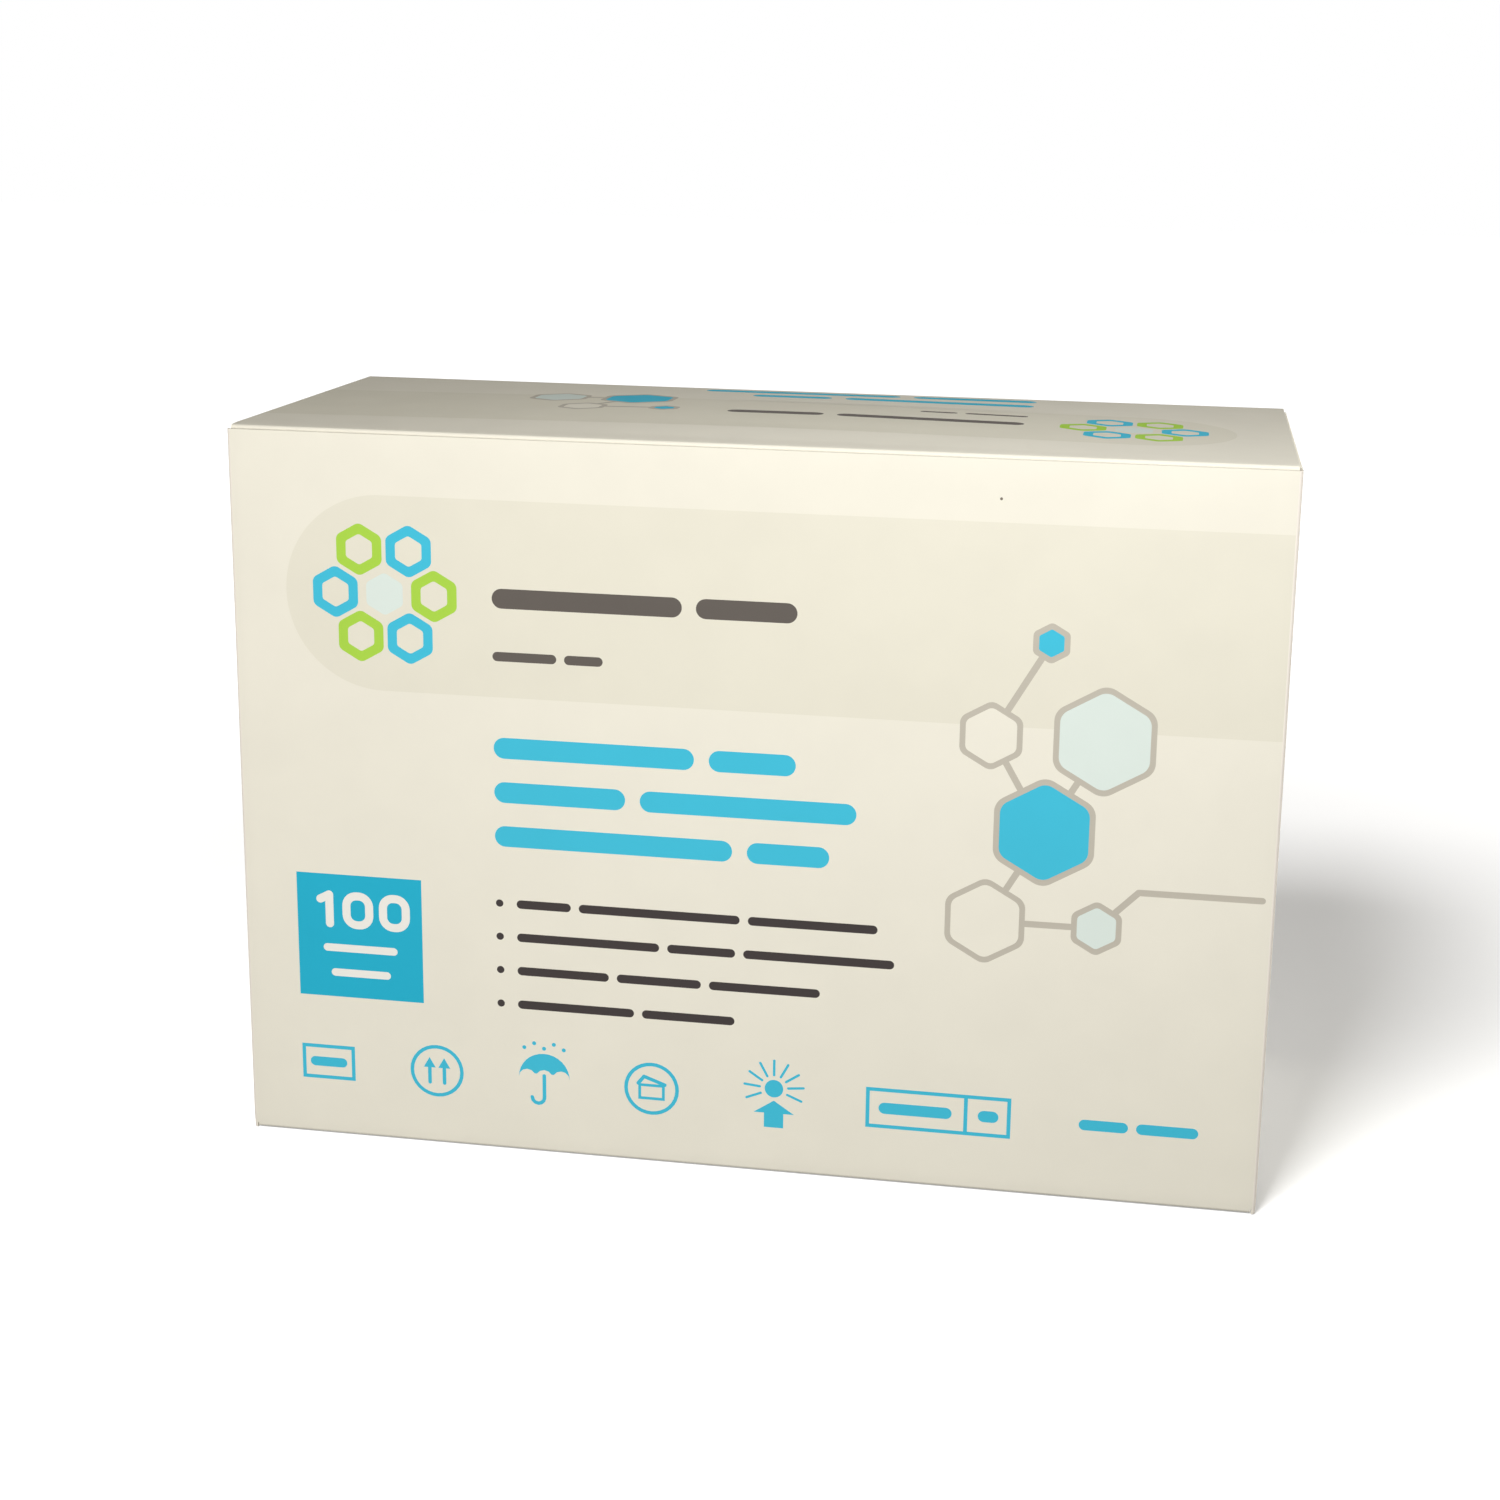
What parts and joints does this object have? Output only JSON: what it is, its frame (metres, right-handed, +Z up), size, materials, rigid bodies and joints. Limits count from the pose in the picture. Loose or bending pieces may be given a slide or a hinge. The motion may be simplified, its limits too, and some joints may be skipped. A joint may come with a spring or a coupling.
{
  "type": "folding carton",
  "caption": "Rectangular printed board carton with a tuck-in top lid, dust flaps and a glued bottom, for packing small ward disposables.",
  "frame": {"origin": "middle of the closed carton's base, on the surface that it stands on", "axes": "+Z up, +Y from the front wall to the back wall where the lid is hinged, +X to the right seen from the front"},
  "size_m": [0.24, 0.096, 0.172],
  "materials": {
    "carton_board": "coated and varnished on the printed face, uncoated inside"
  },
  "bodies": {
    "carton": {"carton_body": "carton_board"},
    "lid": {"lid": "carton_board"}
  },
  "joints": [
    {"name": "lid_hinge", "type": "hinge", "parent": "carton", "child": "lid", "pos_m": [0, 0.04774, 0.17174], "axis": [-1, 0, 0], "range_deg": [0, 180]}
  ]
}
